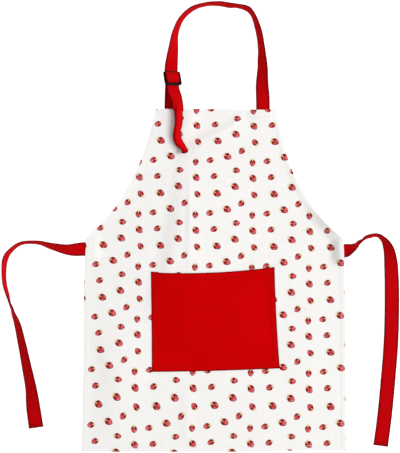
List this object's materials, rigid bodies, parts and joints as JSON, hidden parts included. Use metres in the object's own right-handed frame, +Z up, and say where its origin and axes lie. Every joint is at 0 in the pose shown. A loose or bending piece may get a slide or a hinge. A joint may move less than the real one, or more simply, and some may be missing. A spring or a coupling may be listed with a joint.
{
  "type": "child's kitchen apron",
  "caption": "Bib apron in printed cotton, laid flat, with a red patch pocket, waist ties and a neck strap that adjusts on a plastic slide.",
  "frame": {"origin": "on the table top, under the middle of the apron without its waist ties", "axes": "+Y from the hem toward the bib and the neck strap, +Z up, away from the table, out of the apron's front"},
  "size_m": [0.6561, 0.7406, 0.0257],
  "materials": {
    "printed_cotton": "plain-woven white cotton with a small red fruit print",
    "red_cotton": "dyed plain-woven red cotton",
    "black_plastic": "moulded black plastic with a satin skin"
  },
  "bodies": {
    "root": {"body_panel": "printed_cotton", "pocket": "red_cotton", "neck_strap": "red_cotton", "buckle_loop": "red_cotton", "waist_tie_left": "red_cotton", "waist_tie_right": "red_cotton", "slide_buckle": "black_plastic"}
  },
  "joints": []
}
